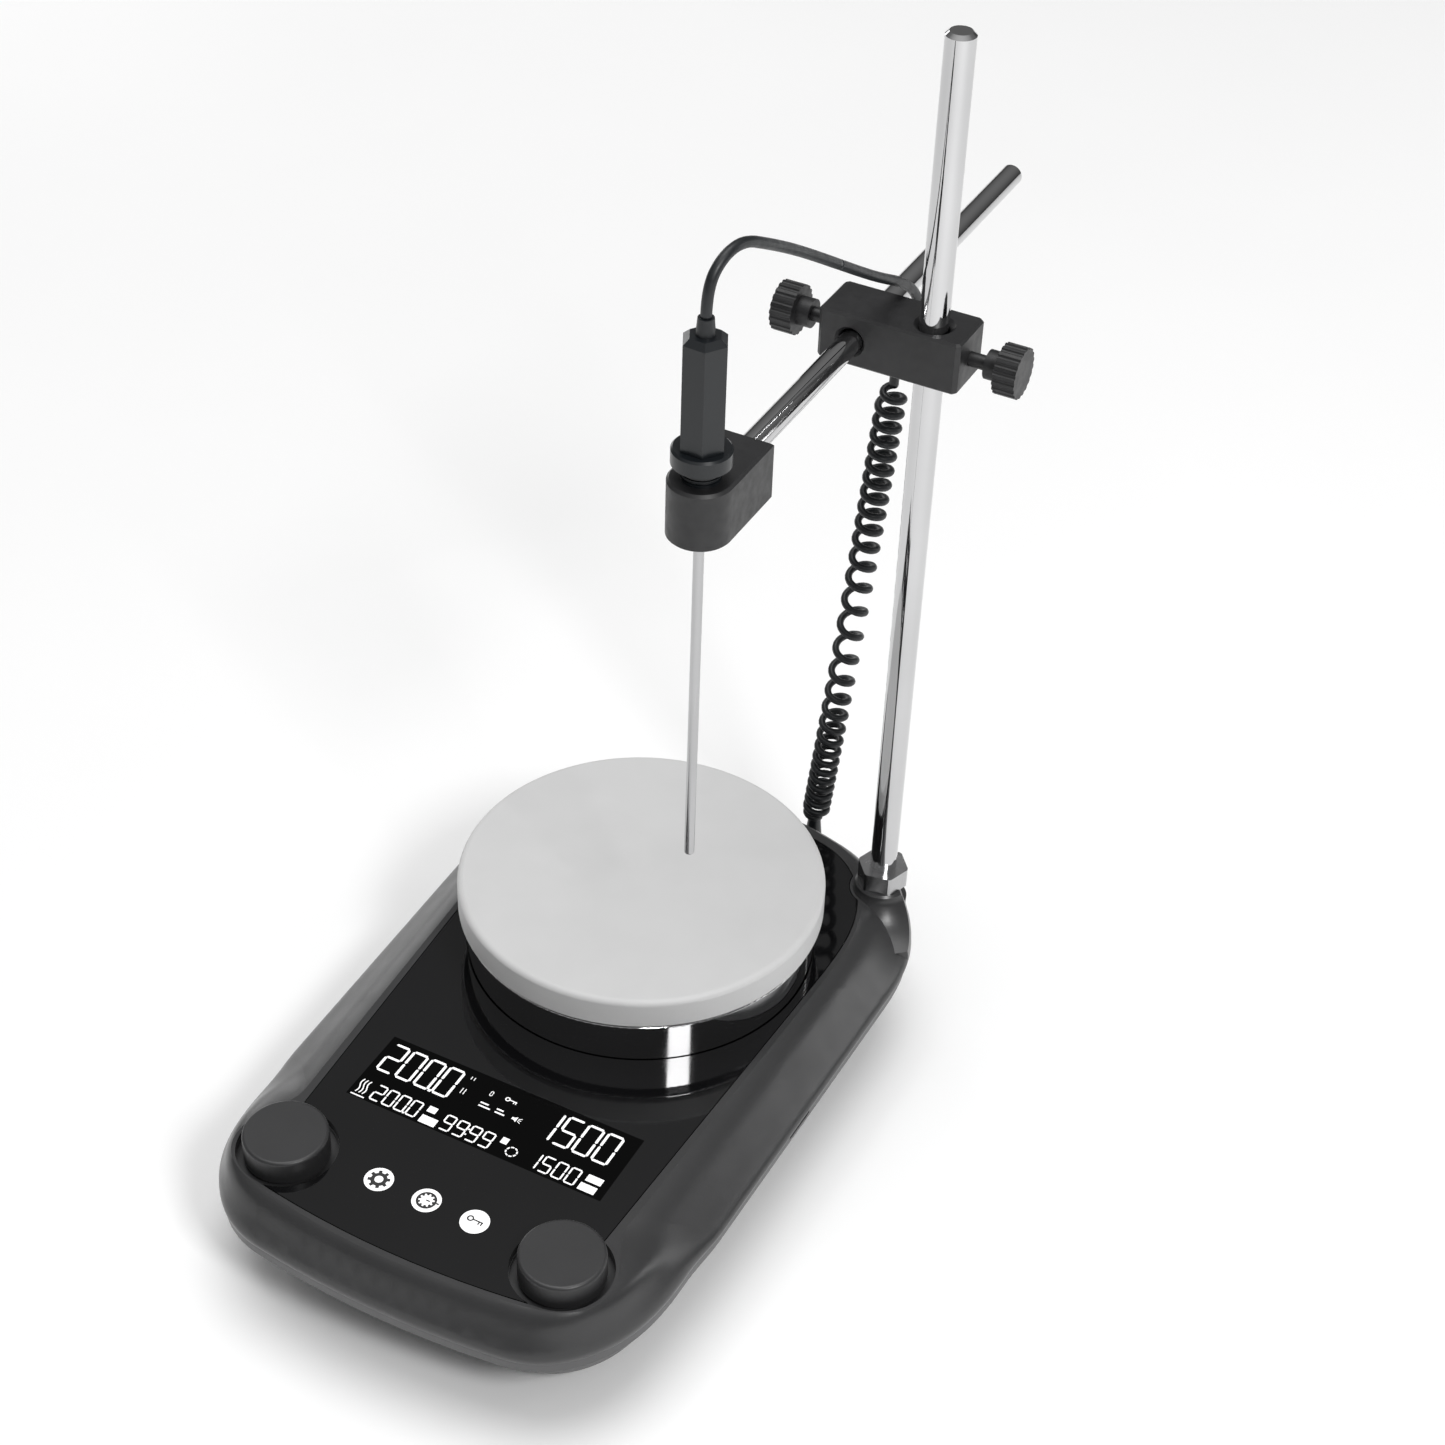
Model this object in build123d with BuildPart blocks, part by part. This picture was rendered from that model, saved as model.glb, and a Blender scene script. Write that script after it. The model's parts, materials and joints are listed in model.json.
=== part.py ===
from build123d import *
import os
from math import cos, pi, radians, sin, tan

os.makedirs("parts", exist_ok=True)

# ---------------------------------------------------------------- driving dimensions (mm)
# Heights above the table
FEET_TOP = 5.0
SPLIT_Z = 38.0
WIDEST_Z = 41.0
DECK_Z = 53.0
TOP_Z = 56.0
DECK_UNDER_Z = 50.5
WALL = 2.5

# Hotplate and the shroud that carries it
PLATE_R = 67.5
PLATE_BOTTOM_Z = 74.7
PLATE_TOP_Z = 87.0
SHROUD_R = 64.6
SHROUD_TOP_Z = 73.0
GLASS_HOLE_R = 65.0
GLASS_GROOVE = 0.35

# Knobs
KNOB_X = 54.2
KNOB_Y = -151.2
KNOB_R = 14.85
KNOB_TOP_Z = 63.6
KNOB_BOTTOM_Z = 54.2
RECESS_R = 17.5
RECESS_Z = 52.0

# Display and touch keys
DISPLAY_Y = -105.0
DISPLAY_LENGTH = 101.6
DISPLAY_WIDTH = 30.9

# Support rod, boss clamp, crossbar and probe
ROD_X = 67.6
ROD_Y = 68.0
ROD_R = 5.0
ROD_BOTTOM_Z = 40.5
ROD_TOP_Z = 404.0
PAD_TOP_Z = 60.0
NUT_HEIGHT = 8.0
BOSS_LEFT = 30.3
BOSS_RIGHT = 80.7
BOSS_FRONT = 59.0
BOSS_BACK = 80.2
BOSS_BOTTOM_Z = 284.3
BOSS_TOP_Z = 303.0
CLAMP_Z = 293.2
BAR_X = 42.4
BAR_R = 4.0
BAR_FRONT = -35.5
BAR_BACK = 197.0
PROBE_Y = -45.9
HOLDER_HALF_WIDTH = 10.5
HOLDER_BACK = -18.0
HOLDER_BOTTOM_Z = 280.3
HOLDER_TOP_Z = 300.5
PROBE_TIP_Z = 151.0
NIPPLE_TOP_Z = 355.0

# Probe cord
CORD_R = 1.75
COIL_R = 5.7

# Stirring motor and its rotor
BRACKET_BOTTOM_Z = 48.5
MOTOR_BOTTOM_Z = 13.0
SHAFT_R = 3.0
RUNNING_GAP = 0.05

# Rear panel
PANEL_Y = 85.5
PANEL_THICKNESS = 2.5
SOCKET_X = 21.0
SOCKET_Z = 20.0
INLET_X = -27.0

# The stirring axis lies off the origin, so that the origin is under the middle of the whole outline
THUMBSCREW_RIGHT_END = 99.5
HOUSING_HALF_WIDTH = 89.4
HOUSING_FRONT = 184.2
STIR_X = (HOUSING_HALF_WIDTH - THUMBSCREW_RIGHT_END) / 2
STIR_Y = (HOUSING_FRONT - BAR_BACK) / 2

# Half outlines of the housing from the front middle round the right side to the rear middle
WIDEST = [(0, -184.2), (48, -181), (72.2, -167.4), (85.2, -122), (86.8, -100),
          (89.2, 30), (81.5, 67), (58, 87), (0, 98)]
CREST = [(0, -175.8), (52, -170.8), (67.4, -164.4), (73.4, -151), (65, -124),
         (71, 6), (66.8, 54), (40, 83.2), (0, 88.4)]
BOTTOM = [(0, -160), (44, -157), (60, -148), (69, -120), (69.5, -108),
          (72, 38), (66, 62), (50, 80), (0, 91)]
RIM_BOTTOM_Z = 34.0
SCREW_POSTS = [(60, -115), (-60, -115), (60, 45), (-60, 45)]
FOOT_PLACES = [(46, -142), (-46, -142), (54, 58), (-54, 58)]


# ---------------------------------------------------------------- helpers
def level(height):
    """A horizontal plane with its origin on the stirring axis."""
    return Plane(origin=(STIR_X, STIR_Y, height))


def side_plane(x, y, z):
    """A plane square to X, its own X along +Y, through a point given from the stirring axis."""
    return Plane(origin=(STIR_X + x, STIR_Y + y, z), x_dir=(0, 1, 0), z_dir=(1, 0, 0))


def upright_plane(x, y):
    """A plane square to Y through a point given from the stirring axis, its own axes along X and Z."""
    return Plane(origin=(STIR_X + x, STIR_Y + y, 0), x_dir=(1, 0, 0), z_dir=(0, -1, 0))


def back_plane(x, y, z):
    """A plane square to Y and facing +Y, its own X along -X."""
    return Plane(origin=(STIR_X + x, STIR_Y + y, z), x_dir=(-1, 0, 0), z_dir=(0, 1, 0))


def finish(builder, name):
    """Label a finished sub-part and write its file."""
    builder.part.label = name
    export_step(builder.part, f"parts/{name}.step")


def between(first, second, share):
    """The outline that lies a share of the way from the first outline to the second."""
    return [(a[0] + share * (b[0] - a[0]), a[1] + share * (b[1] - a[1])) for a, b in zip(first, second)]


def shrink(points, wall):
    """The same outline drawn a wall further in."""
    middle = (WIDEST[0][1] + WIDEST[-1][1]) / 2
    half_length = (WIDEST[-1][1] - WIDEST[0][1]) / 2
    scale_x = 1 - wall / HOUSING_HALF_WIDTH
    scale_y = 1 - wall / half_length
    return [(x * scale_x, middle + (y - middle) * scale_y) for x, y in points]


def arc_end_slope(apex, end):
    """Direction at the end of a shallow arc that is level at its apex."""
    rise = abs(end[1] - apex[1])
    radius = (end[0] ** 2 + rise ** 2) / (2 * rise)
    return end[0] / radius, (1 - (end[0] / radius) ** 2) ** 0.5


def section(points, height):
    """A closed, symmetric horizontal section of the housing as a face."""
    front, front_end, corner, corner_end, side_start, side_end, rear_corner, rear_end, rear = points
    front_sin, front_cos = arc_end_slope(front, front_end)
    rear_sin, rear_cos = arc_end_slope(rear, rear_end)
    side = Vector(side_end[0] - side_start[0], side_end[1] - side_start[1]).normalized()
    along_side = (side.X, side.Y)
    with BuildSketch(level(height)) as outline:
        with BuildLine():
            ThreePointArc((-front_end[0], front_end[1]), front, front_end)
            Spline(front_end, corner, corner_end, tangents=[(front_cos, front_sin), (0, 1)])
            Spline(corner_end, side_start, tangents=[(0, 1), along_side])
            Line(side_start, side_end)
            Spline(side_end, rear_corner, rear_end, tangents=[along_side, (-rear_cos, rear_sin)])
            ThreePointArc(rear_end, rear, (-rear_end[0], rear_end[1]))
            mirror_points = [(-x, y) for x, y in points]
            mirrored = (-along_side[0], along_side[1])
            Spline(mirror_points[7], mirror_points[6], mirror_points[5],
                   tangents=[(-rear_cos, -rear_sin), (-mirrored[0], -mirrored[1])])
            Line(mirror_points[5], mirror_points[4])
            Spline(mirror_points[4], mirror_points[3], tangents=[(-mirrored[0], -mirrored[1]), (0, -1)])
            Spline(mirror_points[3], mirror_points[2], mirror_points[1],
                   tangents=[(0, -1), (front_cos, -front_sin)])
        make_face()
    return outline.sketch.faces()[0]


def tube_path(points, name):
    """Straight runs joined by tangent arcs, each as large as its two runs allow; prints the radii."""
    corners = [Vector(*p) + Vector(STIR_X, STIR_Y, 0) for p in points]
    radii = []
    for before, here, after in zip(corners, corners[1:], corners[2:]):
        turn = (here - before).get_angle(after - here)
        shorter = min((here - before).length, (after - here).length)
        radii.append(0.45 * shorter / tan(radians(turn) / 2))
    print(name, "radii", [round(r, 1) for r in radii])
    with BuildLine() as route:
        FilletPolyline(*corners, radius=radii)
    return route.wires()[0]


def tube(points, radius, name):
    """One plain round tube along a route, written as its own sub-part."""
    path = tube_path(points, name)
    with BuildPart() as hose:
        with BuildSketch(Plane(origin=path @ 0, z_dir=path % 0)):
            Circle(radius)
        sweep(path=path)
    print(name, "volume ratio", round(hose.part.volume / (pi * radius ** 2 * path.length), 4),
          "length", round(path.length, 1))
    finish(hose, name)


# ---------------------------------------------------------------- housing
with BuildPart() as pad_limit:
    loft(sections=[
        section(shrink(WIDEST, 0.6), SPLIT_Z),
        section(WIDEST, WIDEST_Z),
        section(shrink(WIDEST, 0.8), 48),
        section(shrink(WIDEST, 2.4), 54),
        section(shrink(WIDEST, 4.4), PAD_TOP_Z),
    ])

with BuildPart() as rod_pad:
    with BuildSketch(upright_plane(ROD_X, ROD_Y)):
        with BuildLine():
            Polyline((0, SPLIT_Z), (26, SPLIT_Z), (26, 45.5))
            Spline((26, 45.5), (15.5, 51), (11.4, 55.5), (10.2, PAD_TOP_Z - 0.8), tangents=[(-1, 0.35), (0, 1)])
            Polyline((10.2, PAD_TOP_Z - 0.8), (9.4, PAD_TOP_Z), (0, PAD_TOP_Z), (0, SPLIT_Z))
        make_face()
    revolve(axis=Axis((STIR_X + ROD_X, STIR_Y + ROD_Y, 0), (0, 0, 1)))
    add(pad_limit.part, mode=Mode.INTERSECT)

def glass_outline(gap):
    """The front panel's outline, drawn a gap smaller than its seat in the deck."""
    side_front = (59.9 - gap, -150)
    side_back = (68.4 - gap, 8)
    corner = (57.3 - gap, -168.3 + gap)
    rear_corner = (62.4 - gap, 58 - gap)
    rear_end = (35.6, 80.1 - gap)
    with BuildSketch(level(DECK_Z)) as outline:
        with BuildLine():
            ThreePointArc((-corner[0], corner[1]), (0, -173.1 + gap), corner)
            Line(corner, side_front)
            Line(side_front, side_back)
            Spline(side_back, rear_corner, rear_end, tangents=[(0.05, 1), (-1, 0.22)])
            ThreePointArc(rear_end, (0, 84.2 - gap), (-rear_end[0], rear_end[1]))
            Spline((-rear_end[0], rear_end[1]), (-rear_corner[0], rear_corner[1]), (-side_back[0], side_back[1]),
                   tangents=[(-1, -0.22), (0.05, -1)])
            Line((-side_back[0], side_back[1]), (-side_front[0], side_front[1]))
            Line((-side_front[0], side_front[1]), (-corner[0], corner[1]))
        make_face()
        with Locations((KNOB_X, KNOB_Y), (-KNOB_X, KNOB_Y)):
            Circle(RECESS_R + gap, mode=Mode.SUBTRACT)
        with Locations((ROD_X, ROD_Y)):
            Circle(12 + gap, mode=Mode.SUBTRACT)
    return outline.sketch


with BuildPart() as upper_housing:
    loft(sections=[
        section(shrink(WIDEST, 0.6), SPLIT_Z),
        section(WIDEST, WIDEST_Z),
        section(between(WIDEST, CREST, 0.2), 45),
        section(between(WIDEST, CREST, 0.5), 50),
        section(between(WIDEST, CREST, 0.86), 54.9),
        section(between(WIDEST, CREST, 1.04), TOP_Z),
    ])
    add(rod_pad.part)
    loft(sections=[
        section(shrink(WIDEST, WALL + 0.8), SPLIT_Z - 0.01),
        section(shrink(between(WIDEST, CREST, 0.2), WALL), 44.5),
        section(shrink(between(WIDEST, CREST, 0.52), WALL), DECK_UNDER_Z),
    ], mode=Mode.SUBTRACT)
    extrude(glass_outline(0), amount=TOP_Z - DECK_Z + 1, mode=Mode.SUBTRACT)
    with BuildSketch(level(RECESS_Z)):
        with Locations((KNOB_X, KNOB_Y), (-KNOB_X, KNOB_Y)):
            Circle(RECESS_R)
    extrude(amount=TOP_Z - RECESS_Z + 1, mode=Mode.SUBTRACT)
    with BuildSketch(level(DECK_UNDER_Z - 1)):
        with Locations((KNOB_X, KNOB_Y), (-KNOB_X, KNOB_Y)):
            Circle(4.6)
        Circle(45)
        with Locations((0, DISPLAY_Y)):
            Rectangle(DISPLAY_LENGTH - 2, DISPLAY_WIDTH - 2)
    extrude(amount=5, mode=Mode.SUBTRACT)
    with BuildSketch(level(SPLIT_Z)):
        with Locations((ROD_X, ROD_Y)):
            Circle(9.9)
    extrude(amount=DECK_Z - SPLIT_Z)
    with BuildSketch(level(SPLIT_Z - 1)):
        with Locations((ROD_X, ROD_Y)):
            Circle(7.5)
    extrude(amount=PAD_TOP_Z - SPLIT_Z + 2, mode=Mode.SUBTRACT)
    with BuildSketch(level(SPLIT_Z)):
        with Locations(*SCREW_POSTS):
            Circle(4)
    extrude(amount=DECK_UNDER_Z - SPLIT_Z)
    with BuildSketch(level(SPLIT_Z)):
        with Locations(*SCREW_POSTS):
            Circle(1.6)
    extrude(amount=DECK_UNDER_Z - SPLIT_Z - 1, mode=Mode.SUBTRACT)
finish(upper_housing, "upper_housing")

PANEL_HALF = 47
PANEL_Z = (10, 36)
LOWER_RIM = shrink(WIDEST, 0.9)

with BuildPart() as tub_blank:
    loft(sections=[
        section(shrink(BOTTOM, 2), FEET_TOP),
        section(between(BOTTOM, LOWER_RIM, 0.08), 7),
        section(between(BOTTOM, LOWER_RIM, 0.5), 20),
        section(LOWER_RIM, RIM_BOTTOM_Z),
    ])
    extrude(section(LOWER_RIM, RIM_BOTTOM_Z), amount=SPLIT_Z - RIM_BOTTOM_Z)

with BuildPart() as rear_frame:
    add(tub_blank.part)
    with BuildSketch(level(PANEL_Z[0] - WALL)):
        with Locations((0, PANEL_Y)):
            Rectangle(2 * (PANEL_HALF + WALL), 35)
    extrude(amount=SPLIT_Z - PANEL_Z[0] + WALL, mode=Mode.INTERSECT)

with BuildPart() as lower_housing:
    add(tub_blank.part)
    loft(sections=[
        section(shrink(BOTTOM, WALL + 1), FEET_TOP + WALL),
        section(shrink(between(BOTTOM, LOWER_RIM, 0.5), WALL + 0.6), 21),
        section(shrink(LOWER_RIM, WALL), RIM_BOTTOM_Z + 1),
    ], mode=Mode.SUBTRACT)
    extrude(section(shrink(LOWER_RIM, WALL), RIM_BOTTOM_Z + 0.9), amount=SPLIT_Z, mode=Mode.SUBTRACT)
    add(rear_frame.part)
    with BuildSketch(level(PANEL_Z[0])):
        with Locations((0, PANEL_Y)):
            Rectangle(2 * PANEL_HALF, 40)
    extrude(amount=PANEL_Z[1] - PANEL_Z[0], mode=Mode.SUBTRACT)
    # Posts that the housing screws pass up through
    with BuildSketch(level(FEET_TOP)):
        with Locations(*SCREW_POSTS):
            Circle(4.5)
    extrude(amount=SPLIT_Z - FEET_TOP)
    with BuildSketch(level(FEET_TOP)):
        with Locations(*SCREW_POSTS):
            Circle(3.4)
    extrude(amount=4, mode=Mode.SUBTRACT)
    with BuildSketch(level(FEET_TOP)):
        with Locations(*SCREW_POSTS):
            Circle(1.7)
    extrude(amount=SPLIT_Z, mode=Mode.SUBTRACT)
    # Shallow seats for the feet and cooling slots in the floor
    with BuildSketch(level(FEET_TOP)):
        with Locations(*FOOT_PLACES):
            Circle(9)
    extrude(amount=1, mode=Mode.SUBTRACT)
    with BuildSketch(level(FEET_TOP - 1)):
        with Locations((0, -75)):
            with GridLocations(8, 44, 8, 2):
                SlotOverall(34, 3, rotation=90)
    extrude(amount=WALL + 2, mode=Mode.SUBTRACT)
    # One thin latch slot in each side wall
    with BuildSketch(side_plane(-HOUSING_HALF_WIDTH - 1, -40, RIM_BOTTOM_Z + 2.2)):
        SlotOverall(15, 1.6)
    extrude(amount=2 * HOUSING_HALF_WIDTH + 2, mode=Mode.SUBTRACT)
finish(lower_housing, "lower_housing")

with BuildPart() as feet:
    for place in FOOT_PLACES:
        with BuildSketch(level(0)):
            with Locations(place):
                Circle(9)
        foot = extrude(amount=FEET_TOP + 1)
        chamfer(foot.edges().group_by(Axis.Z)[0], length=1)
finish(feet, "feet")

with BuildPart() as housing_screws:
    for place in SCREW_POSTS:
        with BuildSketch(level(FEET_TOP + 1.5)):
            with Locations(place):
                Circle(3)
        extrude(amount=2.5)
        with BuildSketch(level(FEET_TOP + 4)):
            with Locations(place):
                Circle(1.5)
        extrude(amount=38)
        with BuildSketch(level(FEET_TOP + 1.5)):
            with Locations(place):
                Rectangle(4, 0.8)
                Rectangle(0.8, 4)
        extrude(amount=1.2, mode=Mode.SUBTRACT)
finish(housing_screws, "housing_screws")

# ---------------------------------------------------------------- front panel and its electronics
with BuildPart() as glass_panel:
    extrude(glass_outline(GLASS_GROOVE), amount=TOP_Z - DECK_Z)
    with BuildSketch(level(DECK_Z)):
        Circle(GLASS_HOLE_R)
        with Locations((0, DISPLAY_Y)):
            Rectangle(DISPLAY_LENGTH, DISPLAY_WIDTH)
    extrude(amount=TOP_Z - DECK_Z, mode=Mode.SUBTRACT)
finish(glass_panel, "glass_panel")

with BuildPart() as display_window:
    with BuildSketch(level(DECK_Z)):
        with Locations((0, DISPLAY_Y)):
            Rectangle(DISPLAY_LENGTH - 0.2, DISPLAY_WIDTH - 0.2)
    extrude(amount=TOP_Z - DECK_Z - 0.05)
finish(display_window, "display_window")

with BuildPart() as display_module:
    with BuildSketch(level(47)):
        with Locations((0, DISPLAY_Y)):
            Rectangle(DISPLAY_LENGTH - 2.4, DISPLAY_WIDTH - 2.4)
    extrude(amount=DECK_Z - 47)
finish(display_module, "display_module")

with BuildPart() as control_board:
    with BuildSketch(level(45.4)):
        with Locations((0, -110)):
            Rectangle(104, 58)
        with Locations((50, -137), (-50, -137)):
            Rectangle(16, 16, mode=Mode.SUBTRACT)
    extrude(amount=1.6)
    with BuildSketch(level(43.4)):
        with Locations((-20, -105), (12, -112)):
            Rectangle(12, 12)
        with Locations((34, -102), (-38, -100)):
            Rectangle(14, 6)
    extrude(amount=2)
finish(control_board, "control_board")

with BuildPart() as touch_board:
    with BuildSketch(level(49)):
        with Locations((0, -148.3)):
            Rectangle(58, 16)
    extrude(amount=1.5)
    with BuildSketch(level(47.6)):
        with Locations((0, -148.3)):
            Rectangle(10, 5)
    extrude(amount=1.4)
finish(touch_board, "touch_board")

KNOB_PLACES = [(-KNOB_X, KNOB_Y), (KNOB_X, KNOB_Y)]
with BuildPart() as encoders:
    with BuildSketch(level(36)):
        with Locations(*KNOB_PLACES):
            Rectangle(14, 14)
    extrude(amount=9.5)
    with BuildSketch(level(45.5)):
        with Locations(*KNOB_PLACES):
            Circle(4.5)
    extrude(amount=7)
    with BuildSketch(level(37.5)):
        with Locations(*KNOB_PLACES):
            Circle(5.4)
    extrude(amount=4, mode=Mode.SUBTRACT)
    with BuildSketch(level(41)):
        with Locations(*KNOB_PLACES):
            Circle(SHAFT_R + RUNNING_GAP)
    extrude(amount=14, mode=Mode.SUBTRACT)
finish(encoders, "encoders")

for side, knob_x in (("left", -KNOB_X), ("right", KNOB_X)):
    with BuildPart() as plunger:
        with BuildSketch(level(39)):
            with Locations((knob_x, KNOB_Y)):
                Circle(4.9)
        extrude(amount=2)
    finish(plunger, f"push_plunger_{side}")

    with BuildPart() as encoder_shaft:
        with BuildSketch(level(41)):
            with Locations((knob_x, KNOB_Y)):
                Circle(SHAFT_R)
        extrude(amount=20)
    finish(encoder_shaft, f"encoder_shaft_{side}")

    with BuildPart() as knob:
        with BuildSketch(level(KNOB_BOTTOM_Z)):
            with Locations((knob_x, KNOB_Y)):
                Circle(KNOB_R)
        extrude(amount=KNOB_TOP_Z - KNOB_BOTTOM_Z)
        fillet(knob.edges().sort_by(Axis.Z)[-1], radius=1.3)
        with BuildSketch(level(KNOB_BOTTOM_Z)):
            with Locations((knob_x, KNOB_Y)):
                Circle(KNOB_R - 2.2)
                Circle(5, mode=Mode.SUBTRACT)
        extrude(amount=6, mode=Mode.SUBTRACT)
        with BuildSketch(level(KNOB_BOTTOM_Z)):
            with Locations((knob_x, KNOB_Y)):
                Circle(SHAFT_R)
        extrude(amount=61 - KNOB_BOTTOM_Z, mode=Mode.SUBTRACT)
    finish(knob, f"knob_{side}")

# ---------------------------------------------------------------- hotplate
with BuildPart() as hotplate:
    with BuildSketch(level(PLATE_BOTTOM_Z)):
        Circle(PLATE_R)
    extrude(amount=PLATE_TOP_Z - PLATE_BOTTOM_Z)
    fillet(hotplate.edges().sort_by(Axis.Z)[-1], radius=2.2)
    chamfer(hotplate.edges().sort_by(Axis.Z)[0], length=0.8)
    with BuildSketch(level(PLATE_BOTTOM_Z)):
        Circle(46)
    extrude(amount=3.3, mode=Mode.SUBTRACT)
finish(hotplate, "hotplate")

with BuildPart() as heater_element:
    with BuildSketch(level(74.4)):
        Circle(45)
        Circle(12, mode=Mode.SUBTRACT)
    extrude(amount=3.6)
finish(heater_element, "heater_element")

with BuildPart() as insulation_disc:
    with BuildSketch(level(66)):
        Circle(62.5)
        with PolarLocations(53, 4, start_angle=45):
            Circle(3.8, mode=Mode.SUBTRACT)
    extrude(amount=8.2)
    with BuildSketch(level(74.2)):
        Circle(45)
    extrude(amount=0.2)
finish(insulation_disc, "insulation_disc")

with BuildPart() as plate_standoffs:
    with BuildSketch(level(DECK_Z)):
        with PolarLocations(53, 4, start_angle=45):
            RegularPolygon(radius=3.5, side_count=6)
    extrude(amount=PLATE_BOTTOM_Z - DECK_Z)
finish(plate_standoffs, "plate_standoffs")

with BuildPart() as shroud_ring:
    with BuildSketch(level(DECK_Z)):
        Circle(SHROUD_R)
        Circle(SHROUD_R - 1.2, mode=Mode.SUBTRACT)
    extrude(amount=SHROUD_TOP_Z - DECK_Z)
    with BuildSketch(level(DECK_Z)):
        Circle(SHROUD_R)
        Circle(58, mode=Mode.SUBTRACT)
    extrude(amount=1.2)
finish(shroud_ring, "shroud_ring")

with BuildPart() as plate_lip:
    with BuildSketch(level(SHROUD_TOP_Z)):
        Circle(66.8)
        Circle(62.8, mode=Mode.SUBTRACT)
    extrude(amount=1.2)
    fillet(plate_lip.edges().filter_by(GeomType.CIRCLE).group_by(SortBy.RADIUS)[-1], radius=0.5)
finish(plate_lip, "plate_lip")

with BuildPart() as plate_seal:
    with BuildSketch(level(SHROUD_TOP_Z + 1.2)):
        Circle(65.6)
        Circle(62.8, mode=Mode.SUBTRACT)
    extrude(amount=PLATE_BOTTOM_Z - SHROUD_TOP_Z - 1.2)
finish(plate_seal, "plate_seal")

# ---------------------------------------------------------------- stirring motor
with BuildPart() as motor_bracket:
    with BuildSketch(level(BRACKET_BOTTOM_Z)):
        Circle(55)
        Circle(8.5, mode=Mode.SUBTRACT)
        with PolarLocations(38, 6):
            Circle(6, mode=Mode.SUBTRACT)
    extrude(amount=DECK_UNDER_Z - BRACKET_BOTTOM_Z)
finish(motor_bracket, "motor_bracket")

with BuildPart() as motor_housing:
    with BuildSketch(level(MOTOR_BOTTOM_Z)):
        Circle(28)
    extrude(amount=BRACKET_BOTTOM_Z - MOTOR_BOTTOM_Z)
    with BuildSketch(level(21)):
        Circle(26)
    extrude(amount=21, mode=Mode.SUBTRACT)
    with BuildSketch(level(15)):
        Circle(8.02)
    extrude(amount=40, mode=Mode.SUBTRACT)
finish(motor_housing, "motor_housing")

with BuildPart() as motor_bearings:
    for bottom in (15.5, 43):
        with BuildSketch(level(bottom)):
            Circle(8)
            Circle(SHAFT_R + RUNNING_GAP, mode=Mode.SUBTRACT)
        extrude(amount=5)
finish(motor_bearings, "motor_bearings")

with BuildPart() as motor_stator:
    with BuildSketch(level(23)):
        Circle(25.9)
        Circle(17, mode=Mode.SUBTRACT)
        with PolarLocations(21.4, 9):
            Circle(2.6, mode=Mode.SUBTRACT)
    extrude(amount=17)
finish(motor_stator, "motor_stator")

with BuildPart() as motor_shaft:
    with BuildSketch(level(16)):
        Circle(SHAFT_R)
    extrude(amount=43)
finish(motor_shaft, "motor_shaft")

with BuildPart() as motor_rotor:
    with BuildSketch(level(23)):
        Circle(16)
        Circle(SHAFT_R, mode=Mode.SUBTRACT)
    extrude(amount=17)
finish(motor_rotor, "motor_rotor")

with BuildPart() as magnet_carrier:
    with BuildSketch(level(55)):
        Circle(34)
        Circle(SHAFT_R, mode=Mode.SUBTRACT)
        with Locations((22, 0), (-22, 0)):
            Rectangle(12, 18, mode=Mode.SUBTRACT)
    extrude(amount=5)
finish(magnet_carrier, "magnet_carrier")

with BuildPart() as stirring_magnets:
    with BuildSketch(level(55)):
        with Locations((22, 0), (-22, 0)):
            Rectangle(12, 18)
    extrude(amount=7.5)
finish(stirring_magnets, "stirring_magnets")

with BuildPart() as power_board:
    with BuildSketch(level(13)):
        with Locations((0, 49)):
            Rectangle(92, 30)
    extrude(amount=1.6)
    with BuildSketch(level(14.6)):
        with Locations((-10, 52), (8, 50)):
            Circle(6)
        with Locations((27, 50)):
            Rectangle(16, 20)
    extrude(amount=16)
    with BuildSketch(level(FEET_TOP + WALL)):
        with Locations((-38, 45), (38, 45)):
            Circle(3)
    extrude(amount=13 - FEET_TOP - WALL)
finish(power_board, "power_board")

# ---------------------------------------------------------------- rear panel
with BuildPart() as rear_panel:
    with BuildSketch(back_plane(0, PANEL_Y, (PANEL_Z[0] + PANEL_Z[1]) / 2)):
        Rectangle(2 * PANEL_HALF - 0.2, PANEL_Z[1] - PANEL_Z[0] - 0.2)
        with Locations((-INLET_X, 0)):
            Rectangle(28, 21, mode=Mode.SUBTRACT)
        with Locations((-SOCKET_X, SOCKET_Z - 23)):
            Circle(7.2, mode=Mode.SUBTRACT)
        Rectangle(13, 19.4, mode=Mode.SUBTRACT)
        with Locations((-38, 0)):
            Circle(5.6, mode=Mode.SUBTRACT)
    extrude(amount=PANEL_THICKNESS)
finish(rear_panel, "rear_panel")

with BuildPart() as mains_inlet:
    with BuildSketch(back_plane(INLET_X, PANEL_Y - 17, 23)):
        Rectangle(27.8, 20.8)
    extrude(amount=17 + PANEL_THICKNESS)
    with BuildSketch(back_plane(INLET_X, PANEL_Y + PANEL_THICKNESS, 23)):
        RectangleRounded(31, 24, 3)
    extrude(amount=1.8)
    with BuildSketch(back_plane(INLET_X, PANEL_Y + PANEL_THICKNESS + 1.8, 23)):
        RectangleRounded(24, 16.5, 3)
    extrude(amount=-17, mode=Mode.SUBTRACT)
finish(mains_inlet, "mains_inlet")

with BuildPart() as inlet_pins:
    with BuildSketch(back_plane(INLET_X, PANEL_Y - 12.7, 23)):
        with Locations((-7, -2), (7, -2), (0, 2.5)):
            Rectangle(2, 4)
    extrude(amount=13)
finish(inlet_pins, "inlet_pins")

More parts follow.
